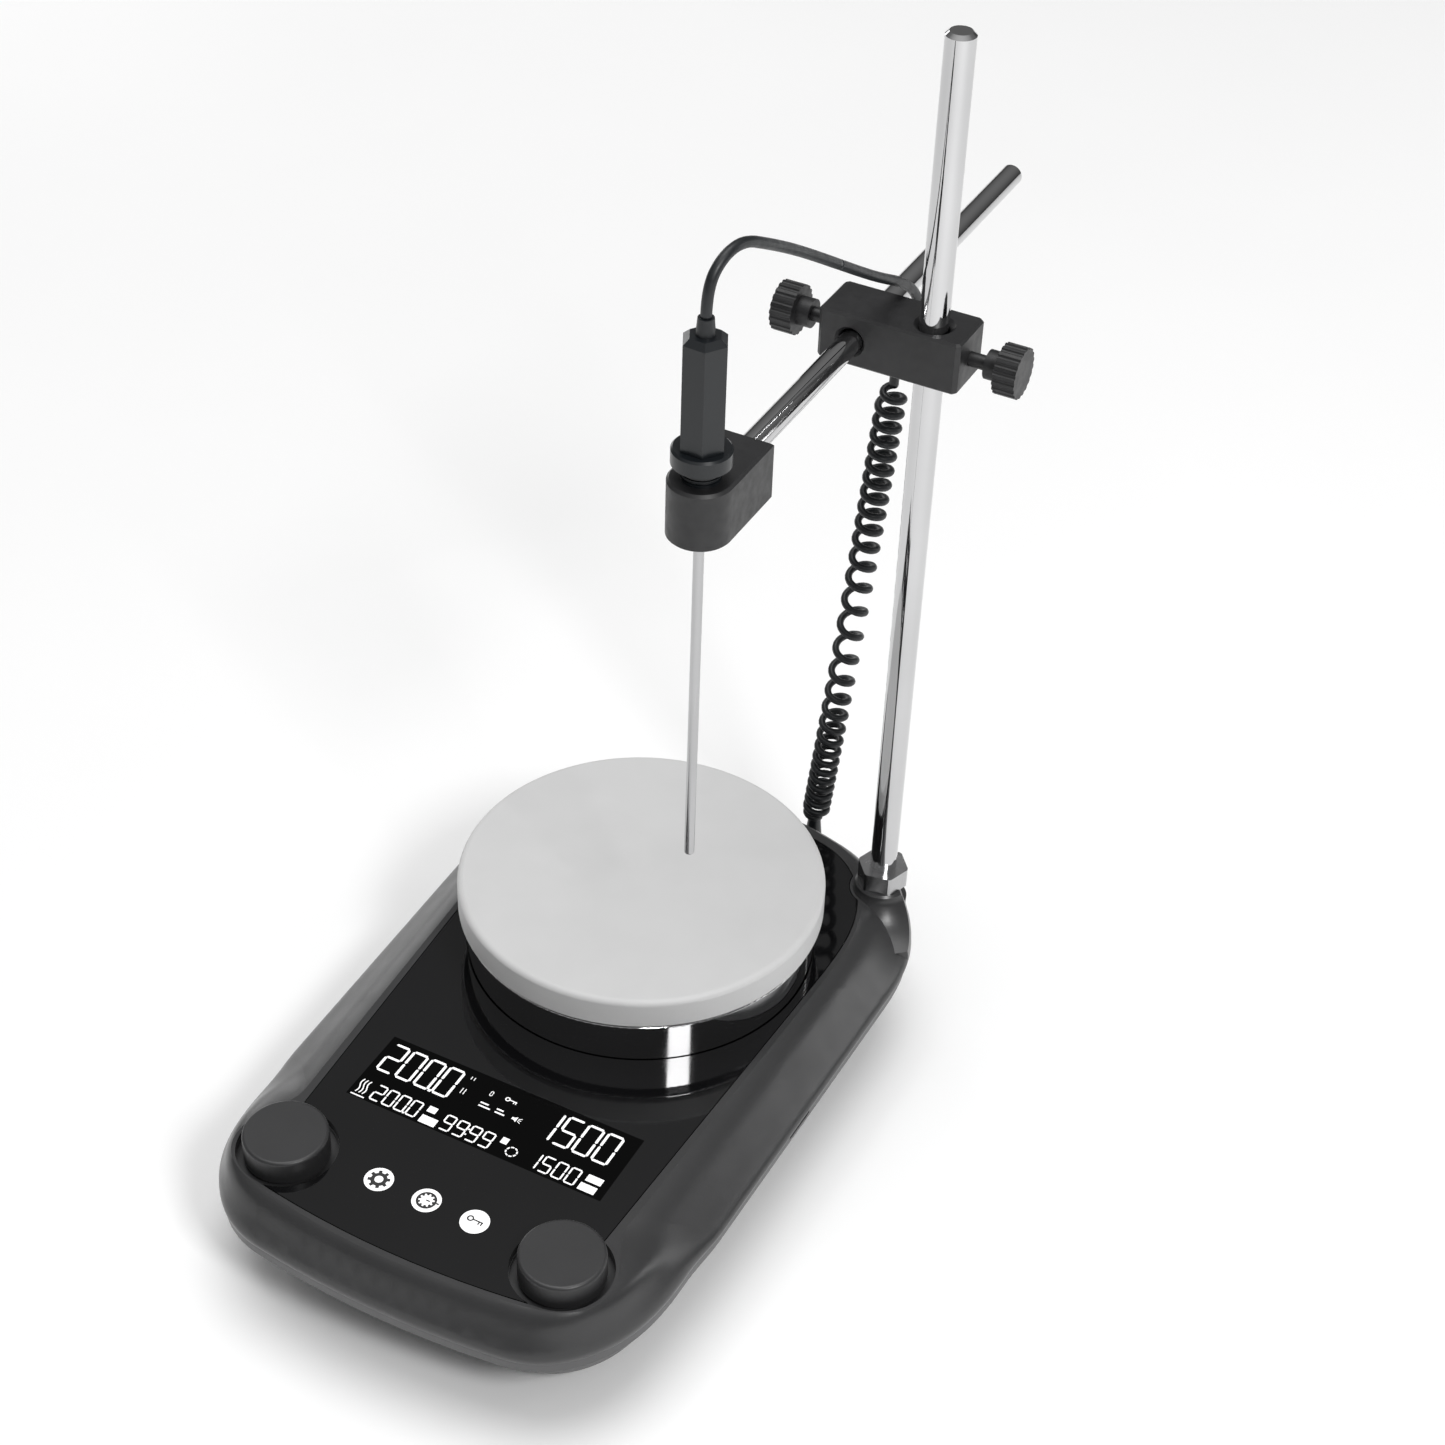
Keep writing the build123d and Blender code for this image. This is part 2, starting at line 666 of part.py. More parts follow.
ROCKER_Y = PANEL_Y + 1
ROCKER_TILT = 8
with BuildPart() as switch_frame:
    with BuildSketch(back_plane(0, PANEL_Y - 12, 23)):
        Rectangle(12.8, 19.2)
    extrude(amount=12 + PANEL_THICKNESS)
    with BuildSketch(back_plane(0, PANEL_Y + PANEL_THICKNESS, 23)):
        RectangleRounded(15, 21, 1)
    extrude(amount=1.6)
    with BuildSketch(back_plane(0, PANEL_Y - 10, 23)):
        Rectangle(10.4, 16.6)
    extrude(amount=20, mode=Mode.SUBTRACT)
    with BuildSketch(side_plane(-10, ROCKER_Y, 23)):
        Circle(1 + RUNNING_GAP)
    extrude(amount=20, mode=Mode.SUBTRACT)
finish(switch_frame, "switch_frame")

with BuildPart() as power_rocker:
    tilted = (0, cos(radians(ROCKER_TILT)), sin(radians(ROCKER_TILT)))
    with BuildSketch(Plane(origin=(STIR_X - 4.9, STIR_Y + ROCKER_Y, 23), x_dir=tilted, z_dir=(1, 0, 0))):
        with BuildLine():
            Polyline((-4, -2.4), (1.5, -7.2), (4.8, -7.0), (3.4, 0), (4.8, 7.0), (1.5, 7.2), (-4, 2.4), (-4, -2.4))
        make_face()
    extrude(amount=9.8)
    with BuildSketch(side_plane(-6.2, ROCKER_Y, 23)):
        Circle(1)
    extrude(amount=12.4)
finish(power_rocker, "power_rocker")

with BuildPart() as fuse_holder:
    with BuildSketch(back_plane(38, PANEL_Y - 16, 23)):
        Circle(5.5)
    extrude(amount=16 + PANEL_THICKNESS)
    with BuildSketch(back_plane(38, PANEL_Y + PANEL_THICKNESS, 23)):
        Circle(6.8)
    extrude(amount=3.4)
    chamfer(fuse_holder.faces().sort_by(Axis.Y)[-1].edges(), length=0.6)
    with BuildSketch(back_plane(38, PANEL_Y + PANEL_THICKNESS + 3.4, 23)):
        Rectangle(8, 1.2)
    extrude(amount=-1.2, mode=Mode.SUBTRACT)
finish(fuse_holder, "fuse_holder")

# ---------------------------------------------------------------- probe socket and its plug
with BuildPart() as sensor_socket:
    with BuildSketch(back_plane(SOCKET_X, PANEL_Y - 9, SOCKET_Z)):
        Circle(7)
    extrude(amount=9 + PANEL_THICKNESS)
    with BuildSketch(back_plane(SOCKET_X, PANEL_Y + PANEL_THICKNESS, SOCKET_Z)):
        Circle(8.4)
    extrude(amount=1.8)
    with BuildSketch(back_plane(SOCKET_X, PANEL_Y - 5, SOCKET_Z)):
        Circle(5.2)
    extrude(amount=20, mode=Mode.SUBTRACT)
finish(sensor_socket, "sensor_socket")

PLUG_EXIT_Y = 107.0
PLUG_EXIT_Z = 27.0
RELIEF_TOP_Z = 42.0
with BuildPart() as sensor_plug:
    with BuildSketch(back_plane(SOCKET_X, PANEL_Y - 5, SOCKET_Z)):
        Circle(5.1)
    extrude(amount=12)
    with BuildSketch(back_plane(SOCKET_X, PANEL_Y + PANEL_THICKNESS + 1.8, SOCKET_Z)):
        Circle(6.6)
    extrude(amount=6)
    with BuildSketch(level(SOCKET_Z - 6.2)):
        with Locations((SOCKET_X, 103.5)):
            RectangleRounded(13, 19, 4)
    extrude(amount=PLUG_EXIT_Z - SOCKET_Z + 6.2)
finish(sensor_plug, "sensor_plug")

with BuildPart() as plug_strain_relief:
    with BuildSketch(level(PLUG_EXIT_Z)):
        with Locations((SOCKET_X, PLUG_EXIT_Y)):
            Circle(3.9)
    with BuildSketch(level(RELIEF_TOP_Z)):
        with Locations((SOCKET_X, PLUG_EXIT_Y)):
            Circle(2.5)
    loft()
finish(plug_strain_relief, "plug_strain_relief")

# ---------------------------------------------------------------- support rod
with BuildPart() as rod_socket:
    with BuildSketch(level(ROD_BOTTOM_Z - 2)):
        with Locations((ROD_X, ROD_Y)):
            Circle(7.5)
    extrude(amount=PAD_TOP_Z - 0.2 - ROD_BOTTOM_Z + 2)
    with BuildSketch(level(ROD_BOTTOM_Z - 0.1)):
        with Locations((ROD_X, ROD_Y)):
            Circle(ROD_R + RUNNING_GAP)
    extrude(amount=PAD_TOP_Z, mode=Mode.SUBTRACT)
finish(rod_socket, "rod_socket")

with BuildPart() as support_rod:
    with BuildSketch(level(ROD_BOTTOM_Z)):
        with Locations((ROD_X, ROD_Y)):
            Circle(ROD_R)
    extrude(amount=ROD_TOP_Z - ROD_BOTTOM_Z)
    chamfer(support_rod.edges().sort_by(Axis.Z)[-1], length=1.3)
    chamfer(support_rod.edges().sort_by(Axis.Z)[0], length=0.8)
finish(support_rod, "support_rod")

with BuildPart() as rod_nut:
    with BuildSketch(level(PAD_TOP_Z)):
        with Locations((ROD_X, ROD_Y)):
            RegularPolygon(radius=17 / 2, side_count=6, major_radius=False, rotation=10)
    extrude(amount=NUT_HEIGHT)
    with BuildSketch(level(PAD_TOP_Z)):
        with Locations((ROD_X, ROD_Y)):
            Circle(9.5)
    extrude(amount=NUT_HEIGHT, mode=Mode.INTERSECT)
    with BuildSketch(level(PAD_TOP_Z)):
        with Locations((ROD_X, ROD_Y)):
            Circle(ROD_R)
    extrude(amount=NUT_HEIGHT, mode=Mode.SUBTRACT)
finish(rod_nut, "rod_nut")

# ---------------------------------------------------------------- boss clamp, thumbscrews and crossbar
CLAMP_Y = 69.6
CLAMP_GAP = 0.3
CLAMP_BORE_OVER = 0.35
with BuildPart() as boss_clamp:
    with BuildSketch(level(BOSS_BOTTOM_Z)):
        with Locations(((BOSS_LEFT + BOSS_RIGHT) / 2, (BOSS_FRONT + BOSS_BACK) / 2)):
            Rectangle(BOSS_RIGHT - BOSS_LEFT, BOSS_BACK - BOSS_FRONT)
    extrude(amount=BOSS_TOP_Z - BOSS_BOTTOM_Z)
    chamfer(boss_clamp.edges().filter_by(Axis.Z), length=1.4)
    chamfer(boss_clamp.faces().sort_by(Axis.Z)[-1].edges(), length=0.8)
    chamfer(boss_clamp.faces().sort_by(Axis.Z)[0].edges(), length=0.8)
    with BuildSketch(level(BOSS_BOTTOM_Z)):
        with Locations((ROD_X + CLAMP_GAP, ROD_Y)):
            Circle(ROD_R + CLAMP_BORE_OVER)
    extrude(amount=BOSS_TOP_Z - BOSS_BOTTOM_Z, mode=Mode.SUBTRACT)
    with BuildSketch(back_plane(BAR_X - CLAMP_GAP, BOSS_FRONT, CLAMP_Z)):
        Circle(BAR_R + CLAMP_BORE_OVER)
    extrude(amount=BOSS_BACK - BOSS_FRONT, mode=Mode.SUBTRACT)
    bore_rims = boss_clamp.edges().filter_by(GeomType.CIRCLE)
    chamfer(bore_rims.filter_by(lambda e: abs(e.radius - BAR_R - CLAMP_BORE_OVER) < 0.01), length=1.1)
    chamfer(bore_rims.filter_by(lambda e: abs(e.radius - ROD_R - CLAMP_BORE_OVER) < 0.01), length=1.6)
    with BuildSketch(side_plane(BOSS_LEFT - 1, CLAMP_Y, CLAMP_Z)):
        Circle(2.5 + RUNNING_GAP)
    extrude(amount=BAR_X - BOSS_LEFT, mode=Mode.SUBTRACT)
    with BuildSketch(side_plane(ROD_X + 1, CLAMP_Y, CLAMP_Z)):
        Circle(2.5 + RUNNING_GAP)
    extrude(amount=BOSS_RIGHT - ROD_X, mode=Mode.SUBTRACT)
finish(boss_clamp, "boss_clamp")

SCREW_GRIP = 20
for side, tip_x, face_x, out in (("left", BAR_X - BAR_R - 0.05, BOSS_LEFT, -1),
                                 ("right", ROD_X + ROD_R + 0.05, BOSS_RIGHT, 1)):
    with BuildPart() as pad:
        with BuildSketch(side_plane(tip_x, CLAMP_Y, CLAMP_Z)):
            Circle(2.3)
        extrude(amount=out * 2)
    finish(pad, f"clamp_pad_{side}")

    with BuildPart() as thumbscrew:
        with BuildSketch(side_plane(tip_x + out * 2, CLAMP_Y, CLAMP_Z)):
            Circle(2.5)
        extrude(amount=out * (abs(face_x - tip_x) - 2 + 6.4))
        with BuildSketch(side_plane(face_x + out * 6.3, CLAMP_Y, CLAMP_Z)):
            Circle(5)
        extrude(amount=out * 4.7)
        with BuildSketch(side_plane(face_x + out * 11, CLAMP_Y, CLAMP_Z)):
            Circle(8.65)
            with PolarLocations(9.1, SCREW_GRIP):
                Circle(0.95, mode=Mode.SUBTRACT)
        extrude(amount=out * 7.8)
    finish(thumbscrew, f"thumbscrew_{side}")

with BuildPart() as crossbar:
    with BuildSketch(back_plane(BAR_X, BAR_FRONT, CLAMP_Z)):
        Circle(BAR_R)
    extrude(amount=BAR_BACK - BAR_FRONT)
    chamfer(crossbar.edges().filter_by(GeomType.CIRCLE), length=0.7)
finish(crossbar, "crossbar")

# ---------------------------------------------------------------- probe holder and probe
with BuildPart() as probe_holder:
    with BuildSketch(level(HOLDER_BOTTOM_Z)):
        with Locations((BAR_X, PROBE_Y)):
            Circle(HOLDER_HALF_WIDTH)
        with Locations((BAR_X, (PROBE_Y + HOLDER_BACK) / 2)):
            Rectangle(2 * HOLDER_HALF_WIDTH, HOLDER_BACK - PROBE_Y)
    extrude(amount=HOLDER_TOP_Z - HOLDER_BOTTOM_Z)
    chamfer(probe_holder.faces().sort_by(Axis.Z)[-1].edges(), length=0.9)
    chamfer(probe_holder.faces().sort_by(Axis.Z)[0].edges(), length=0.5)
    with BuildSketch(level(HOLDER_TOP_Z - 8)):
        with Locations((BAR_X, PROBE_Y)):
            Circle(5.2)
    extrude(amount=8, mode=Mode.SUBTRACT)
    with BuildSketch(level(HOLDER_BOTTOM_Z)):
        with Locations((BAR_X, PROBE_Y)):
            Circle(2.2)
    extrude(amount=20, mode=Mode.SUBTRACT)
    with BuildSketch(back_plane(BAR_X, BAR_FRONT - 0.3, CLAMP_Z)):
        Circle(BAR_R + RUNNING_GAP)
    extrude(amount=HOLDER_BACK - BAR_FRONT + 1, mode=Mode.SUBTRACT)
    with BuildSketch(level(HOLDER_BOTTOM_Z)):
        with Locations((BAR_X, -27)):
            Circle(2)
    extrude(amount=CLAMP_Z - BAR_R - HOLDER_BOTTOM_Z + 1, mode=Mode.SUBTRACT)
finish(probe_holder, "probe_holder")

with BuildPart() as holder_screw:
    with BuildSketch(level(HOLDER_BOTTOM_Z + 1)):
        with Locations((BAR_X, -27)):
            Circle(2)
            RegularPolygon(radius=1.1, side_count=6, mode=Mode.SUBTRACT)
    extrude(amount=CLAMP_Z - BAR_R - HOLDER_BOTTOM_Z - 1.2)
finish(holder_screw, "holder_screw")

with BuildPart() as probe_collar:
    with BuildSketch(level(HOLDER_TOP_Z - 7.9)):
        with Locations((BAR_X, PROBE_Y)):
            Circle(5.1)
    extrude(amount=7.9)
    for groove in range(4):
        with BuildSketch(level(HOLDER_TOP_Z + 1.4 * groove)):
            with Locations((BAR_X, PROBE_Y)):
                Circle(6.25)
        extrude(amount=0.9)
    with BuildSketch(level(HOLDER_TOP_Z)):
        with Locations((BAR_X, PROBE_Y)):
            Circle(5.7)
    extrude(amount=5.5)
    with BuildSketch(level(HOLDER_TOP_Z + 5.5)):
        with Locations((BAR_X, PROBE_Y)):
            Circle(9.45)
    extrude(amount=5.4)
    chamfer(probe_collar.faces().sort_by(Axis.Z)[-1].edges(), length=0.7)
    with BuildSketch(level(HOLDER_TOP_Z - 8)):
        with Locations((BAR_X, PROBE_Y)):
            Circle(1.7)
    extrude(amount=30, mode=Mode.SUBTRACT)
finish(probe_collar, "probe_collar")

HANDLE_BOTTOM_Z = HOLDER_TOP_Z + 10.9
with BuildPart() as probe_handle:
    with BuildSketch(level(HANDLE_BOTTOM_Z)):
        with Locations((BAR_X, PROBE_Y)):
            RegularPolygon(radius=13 / 2, side_count=6, major_radius=False, rotation=-3)
    extrude(amount=38)
    chamfer(probe_handle.faces().sort_by(Axis.Z)[-1].edges(), length=1.9)
    with BuildSketch(level(HANDLE_BOTTOM_Z - 1)):
        with Locations((BAR_X, PROBE_Y)):
            Circle(1.7)
    extrude(amount=11, mode=Mode.SUBTRACT)
finish(probe_handle, "probe_handle")

with BuildPart() as handle_nipple:
    with BuildSketch(level(HANDLE_BOTTOM_Z + 38)):
        with Locations((BAR_X, PROBE_Y)):
            Circle(3)
    with BuildSketch(level(NIPPLE_TOP_Z)):
        with Locations((BAR_X, PROBE_Y)):
            Circle(2.5)
    loft()
finish(handle_nipple, "handle_nipple")

with BuildPart() as probe_stem:
    with BuildSketch(level(PROBE_TIP_Z)):
        with Locations((BAR_X, PROBE_Y)):
            Circle(1.7)
    extrude(amount=HANDLE_BOTTOM_Z + 10 - PROBE_TIP_Z)
    fillet(probe_stem.edges().sort_by(Axis.Z)[0], radius=0.8)
finish(probe_stem, "probe_stem")

# ---------------------------------------------------------------- probe cord
# Routes are given from the stirring axis, heights from the table
BAR_SPLIT = (47.2, 34, 335.4)
COIL_TOP = (44.0, 96.0, 258.0)
COIL_MIDDLE = (34.0, 100.5, 150.0)
COIL_BOTTOM = (SOCKET_X, PLUG_EXIT_Y, RELIEF_TOP_Z)
PROBE_ROUTE = [
    (BAR_X, PROBE_Y, NIPPLE_TOP_Z),
    (BAR_X, PROBE_Y, 364.3),
    (43.7, -39.8, 371.6),
    (45.6, -30.1, 373.1),
    (46.8, -16.5, 366.0),
    (46.4, 0.0, 356.6),
    (46.6, 18.0, 345.6),
    BAR_SPLIT,
]
BOSS_ROUTE = [
    BAR_SPLIT,
    (47.8, 50, 325.2),
    (48.6, 66, 315.4),
    (50.0, 81, 307.2),
    (51.2, 91.5, 298.5),
    (51.4, 96.6, 287.0),
    (48.4, 97.4, 276.5),
    (44.0, 96.0, 267.5),
    COIL_TOP,
]
tube(PROBE_ROUTE, CORD_R, "cord_probe_lead")
tube(BOSS_ROUTE, CORD_R, "cord_boss_lead")
for name, start, end in (("cord_coil_upper", COIL_TOP, COIL_MIDDLE),
                         ("cord_coil_lower", COIL_MIDDLE, COIL_BOTTOM)):
    first = Vector(*start) + Vector(STIR_X, STIR_Y, 0)
    last = Vector(*end) + Vector(STIR_X, STIR_Y, 0)
    with BuildPart() as coil:
        with BuildSketch(Plane(origin=first, z_dir=(0, 0, -1))):
            Circle(COIL_R)
        with BuildSketch(Plane(origin=last, z_dir=(0, 0, -1))):
            Circle(COIL_R)
        loft()
    finish(coil, name)
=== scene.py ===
import json
import math

import bmesh
import bpy
from mathutils import Matrix, Vector


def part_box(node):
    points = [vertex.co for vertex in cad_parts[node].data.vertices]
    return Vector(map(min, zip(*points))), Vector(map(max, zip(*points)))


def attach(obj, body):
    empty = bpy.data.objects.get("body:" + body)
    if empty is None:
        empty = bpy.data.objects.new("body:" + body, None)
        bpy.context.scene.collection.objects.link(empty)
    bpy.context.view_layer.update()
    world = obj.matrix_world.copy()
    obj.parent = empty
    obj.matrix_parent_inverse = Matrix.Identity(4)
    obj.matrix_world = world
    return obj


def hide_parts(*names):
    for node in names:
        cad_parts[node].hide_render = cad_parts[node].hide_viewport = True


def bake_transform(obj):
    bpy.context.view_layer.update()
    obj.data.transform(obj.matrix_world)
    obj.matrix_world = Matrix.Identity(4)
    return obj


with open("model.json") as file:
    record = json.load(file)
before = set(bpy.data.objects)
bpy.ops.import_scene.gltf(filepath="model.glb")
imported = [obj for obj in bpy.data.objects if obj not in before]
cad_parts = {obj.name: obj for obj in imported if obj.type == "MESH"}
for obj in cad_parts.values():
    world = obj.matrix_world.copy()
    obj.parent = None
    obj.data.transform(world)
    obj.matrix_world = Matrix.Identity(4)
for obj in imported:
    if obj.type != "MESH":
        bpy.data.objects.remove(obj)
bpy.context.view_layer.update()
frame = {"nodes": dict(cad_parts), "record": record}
MM = 0.001

plate_low, plate_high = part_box("hotplate")
STIR = (plate_low + plate_high) / 2
GLASS_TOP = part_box("glass_panel")[1].z


def at(x, y, z):
    """A point given in millimetres from the stirring axis, its height from the table."""
    return Vector((STIR.x + x * MM, STIR.y + y * MM, z * MM))


# ---------------------------------------------------------------- camera
CAMERA_ANGLES = (26.05, 38.81, 2.33)
CAMERA_PLACE = (339.3, -632.0, 735.5)
SENSOR_WIDTH = 36
LENS = 65.6
CLIP_NEAR, CLIP_FAR = 0.05, 50


def make_camera():
    """A camera that looks down on the object from its front right, as in the photograph."""
    azimuth, elevation, roll = (math.radians(angle) for angle in CAMERA_ANGLES)
    forward = Vector((-math.sin(azimuth) * math.cos(elevation),
                      math.cos(azimuth) * math.cos(elevation), -math.sin(elevation)))
    level_right = Vector((math.cos(azimuth), math.sin(azimuth), 0))
    level_up = level_right.cross(forward)
    right = level_right * math.cos(roll) + level_up * math.sin(roll)
    up = level_up * math.cos(roll) - level_right * math.sin(roll)
    data = bpy.data.cameras.new("camera")
    data.sensor_width = SENSOR_WIDTH
    data.lens = LENS
    data.clip_start, data.clip_end = CLIP_NEAR, CLIP_FAR
    camera = bpy.data.objects.new("camera", data)
    bpy.context.scene.collection.objects.link(camera)
    basis = Matrix((right, up, -forward)).transposed().to_4x4()
    camera.matrix_world = Matrix.Translation(at(*CAMERA_PLACE)) @ basis
    bpy.context.scene.camera = camera


make_camera()

# ---------------------------------------------------------------- cords
CORD_D = 3.5 * MM
WIRE_D = 2.7 * MM
COIL_R = 4.3 * MM
COIL_STEPS_PER_TURN = 22
COIL_FIRST_TURN = 0.15
COIL_EASE = 5
CLOSE_PITCH = 4.0
TOP_PITCH = 2.4
PULLED_PITCH = 7.3
PULLED_HEIGHT = 142
PULLED_SPREAD = 46
ROUTE_RESOLUTION = 24
ROUTE_ORDER = 3
BAR_SPLIT = (47.2, 34, 335.4)
CLAMP_END = (50.0, 81, 307.2)
COIL_TOP = (44.0, 96.0, 258.0)
COIL_MIDDLE = (34.0, 100.5, 150.0)
COIL_BOTTOM = (21.0, 107.0, 42.0)
PROBE_ROUTE = [
    (42.4, -45.9, 355.0),
    (42.4, -45.9, 364.3),
    (43.7, -39.8, 371.6),
    (45.6, -30.1, 373.1),
    (46.8, -16.5, 366.0),
    (46.4, 0.0, 356.6),
    (46.6, 18.0, 345.6),
    BAR_SPLIT,
]
BOSS_ROUTE = [
    BAR_SPLIT,
    (47.8, 50, 325.2),
    (48.6, 66, 315.4),
    CLAMP_END,
    (51.2, 91.5, 298.5),
    (51.4, 96.6, 287.0),
    (48.4, 97.4, 276.5),
    (44.0, 96.0, 267.5),
    COIL_TOP,
]


def smooth_line(route):
    """Points read along the smooth curve that has the route's points as its control points."""
    data = bpy.data.curves.new("route", "CURVE")
    data.dimensions = "3D"
    data.resolution_u = ROUTE_RESOLUTION
    spline = data.splines.new("NURBS")
    spline.points.add(len(route) - 1)
    for point, place in zip(spline.points, route):
        point.co = (*at(*place), 1)
    spline.order_u = ROUTE_ORDER
    spline.use_endpoint_u = True
    holder = bpy.data.objects.new("route", data)
    bpy.context.scene.collection.objects.link(holder)
    bpy.context.view_layer.update()
    mesh = bpy.data.meshes.new_from_object(holder)
    line = [v.co.copy() for v in mesh.vertices]
    bpy.data.objects.remove(holder)
    return line


def link(mesh, name):
    piece = bpy.data.objects.new(name, mesh)
    bpy.context.scene.collection.objects.link(piece)
    return piece


def swept_tube(line, radius, name, sides=14):
    """A closed round tube that follows a line without twisting."""
    bm = bmesh.new()
    rings = []
    tangent = (line[1] - line[0]).normalized()
    normal = tangent.orthogonal().normalized()
    for i, point in enumerate(line):
        ahead = line[min(i + 1, len(line) - 1)] - line[max(i - 1, 0)]
        ahead.normalize()
        normal = (normal - ahead * normal.dot(ahead)).normalized()
        across = ahead.cross(normal)
        ring = []
        for k in range(sides):
            turn = 2 * math.pi * k / sides
            ring.append(bm.verts.new(point + (normal * math.cos(turn) + across * math.sin(turn)) * radius))
        rings.append(ring)
    for first, second in zip(rings, rings[1:]):
        for k in range(sides):
            bm.faces.new((first[k], first[(k + 1) % sides], second[(k + 1) % sides], second[k]))
    bm.faces.new(list(reversed(rings[0])))
    bm.faces.new(rings[-1])
    mesh = bpy.data.meshes.new(name)
    bm.to_mesh(mesh)
    bm.free()
    for face in mesh.polygons:
        face.use_smooth = len(face.vertices) == 4
    return link(mesh, name)


def pitch(height):
    """Distance between turns: close at the foot, drawn apart in the middle by the cord's weight."""
    low, high = COIL_BOTTOM[2], COIL_TOP[2]
    pulled = PULLED_PITCH * math.exp(-((height - PULLED_HEIGHT) / PULLED_SPREAD) ** 2)
    return CLOSE_PITCH + pulled + TOP_PITCH * (height - low) / (high - low)


def coil_line():
    """The curly cord's own line from its top to its foot, wound round its axis."""
    axis = smooth_line([COIL_TOP, COIL_MIDDLE, COIL_BOTTOM])
    heights = [p.z / MM for p in axis]
    line = []
    turn = COIL_FIRST_TURN
    height = COIL_TOP[2]
    low = COIL_BOTTOM[2]
    while height > low:
        k = next(i for i, h in enumerate(heights) if h <= height) if height < heights[0] else 1
        above, below = axis[max(k - 1, 0)], axis[k]
        share = (above.z - height * MM) / max(above.z - below.z, 1e-9)
        centre = above.lerp(below, min(max(share, 0), 1))
        ease = min(1, (COIL_TOP[2] - height) / COIL_EASE, (height - low) / COIL_EASE)
        radius = COIL_R * math.sin(max(ease, 0) * math.pi / 2)
        angle = 2 * math.pi * turn
        line.append(centre + Vector((math.cos(angle), math.sin(angle), 0)) * radius)
        turn += 1 / COIL_STEPS_PER_TURN
        height -= pitch(height) / COIL_STEPS_PER_TURN
    line.append(at(*COIL_BOTTOM))
    return line


def make_cords():
    probe_line = smooth_line(PROBE_ROUTE)
    boss_line = smooth_line(BOSS_ROUTE)
    curl = coil_line()
    split = min(range(len(curl)), key=lambda i: abs(curl[i].z - COIL_MIDDLE[2] * MM))
    upper, lower = curl[:split + 1], curl[split:]
    made = {}
    for name, line, radius in (
            ("lead_from_probe", probe_line, CORD_D / 2),
            ("lead_to_coil", boss_line, CORD_D / 2),
            ("curly_cord_upper", upper, WIRE_D / 2),
            ("curly_cord_lower", lower, WIRE_D / 2)):
        made[name] = (swept_tube(line, radius, name), line, 2 * radius)
    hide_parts("cord_probe_lead")
    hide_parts("cord_boss_lead")
    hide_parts("cord_coil_upper")
    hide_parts("cord_coil_lower")
    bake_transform(made["lead_from_probe"][0])
    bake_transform(made["lead_to_coil"][0])
    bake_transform(made["curly_cord_upper"][0])
    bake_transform(made["curly_cord_lower"][0])
    return {name: item[0] for name, item in made.items()}


cords = make_cords()


# ---------------------------------------------------------------- materials
RAMP_START, RAMP_END = 0.3, 0.7
BUMP_DETAIL = 2.0


def new_material(name, colour, roughness, metallic=0.0):
    """A material with its main shader, and the shader itself."""
    material = bpy.data.materials.new(name)
    material.use_nodes = True
    shader = material.node_tree.nodes["Principled BSDF"]
    shader.inputs["Base Color"].default_value = (*colour, 1)
    shader.inputs["Roughness"].default_value = roughness
    shader.inputs["Metallic"].default_value = metallic
    return material, shader


def node(material, kind):
    return material.node_tree.nodes.new(kind)


def noise(material, scale, detail=4.0, stretch=(1, 1, 1)):
    """Noise in the object's own space, stretched along an axis for drawn or turned metal."""
    tree = material.node_tree
    space = node(material, "ShaderNodeTexCoord")
    mapping = node(material, "ShaderNodeMapping")
    mapping.inputs["Scale"].default_value = stretch
    texture = node(material, "ShaderNodeTexNoise")
    texture.inputs["Scale"].default_value = scale
    texture.inputs["Detail"].default_value = detail
    tree.links.new(space.outputs["Object"], mapping.inputs["Vector"])
    tree.links.new(mapping.outputs["Vector"], texture.inputs["Vector"])
    return texture.outputs["Fac"]


def ramp(material, source, low, high):
    """Map a texture to a range of colours or greys."""
    made = node(material, "ShaderNodeValToRGB")
    made.color_ramp.elements[0].position = RAMP_START
    made.color_ramp.elements[1].position = RAMP_END
    made.color_ramp.elements[0].color = (*low, 1)
    made.color_ramp.elements[1].color = (*high, 1)
    material.node_tree.links.new(source, made.inputs["Fac"])
    return made.outputs["Color"]


def vary_colour(material, shader, colour, amount, scale):
    low = [c * (1 - amount) for c in colour]
    high = [min(1, c * (1 + amount)) for c in colour]
    colours = ramp(material, noise(material, scale), low, high)
    material.node_tree.links.new(colours, shader.inputs["Base Color"])


def vary_roughness(material, shader, low, high, scale, stretch=(1, 1, 1)):
    greys = ramp(material, noise(material, scale, stretch=stretch), [low] * 3, [high] * 3)
    material.node_tree.links.new(greys, shader.inputs["Roughness"])


def add_bump(material, shader, scale, distance, strength, stretch=(1, 1, 1)):
    bump = node(material, "ShaderNodeBump")
    bump.inputs["Strength"].default_value = strength
    bump.inputs["Distance"].default_value = distance
    material.node_tree.links.new(noise(material, scale, BUMP_DETAIL, stretch), bump.inputs["Height"])
    material.node_tree.links.new(bump.outputs["Normal"], shader.inputs["Normal"])


def moulded_plastic(name, colour, roughness, grain=2600, depth=0.00004):
    """Spark-eroded moulded plastic: fine even grain, slight colour and gloss changes."""
    material, shader = new_material(name, colour, roughness)
    vary_colour(material, shader, colour, 0.04, 60)
    vary_roughness(material, shader, roughness - 0.02, roughness + 0.03, 90)
    add_bump(material, shader, grain, depth, 0.35)
    return material


GLASS_IOR = 1.52
CERAMIC_WHITE = (0.60, 0.60, 0.60)


